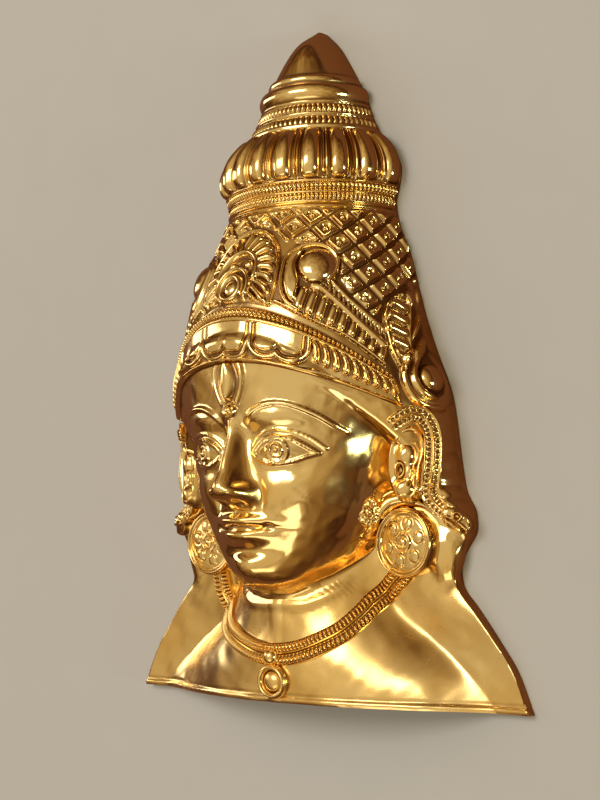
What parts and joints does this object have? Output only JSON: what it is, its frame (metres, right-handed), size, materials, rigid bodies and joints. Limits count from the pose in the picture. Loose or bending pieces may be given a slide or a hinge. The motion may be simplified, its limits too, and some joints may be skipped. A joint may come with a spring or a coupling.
{
  "type": "face mask",
  "caption": "Hollow embossed brass mask of a crowned goddess: bust, face, ear discs, necklace and tall crown in one polished gold sheet, open at the back.",
  "frame": {"origin": "middle of the back plane, half way between the tip of the crown and the cut edge of the bust", "axes": "+Y towards the tip of the crown, +Z out of the face, +X to the viewer's right; the mask lies face up on its back rim"},
  "size_m": [0.222, 0.3, 0.0686],
  "materials": {
    "gilt_brass": "polished gold plating on embossed brass sheet"
  },
  "bodies": {
    "root": {"face_mask": "gilt_brass"}
  },
  "joints": []
}
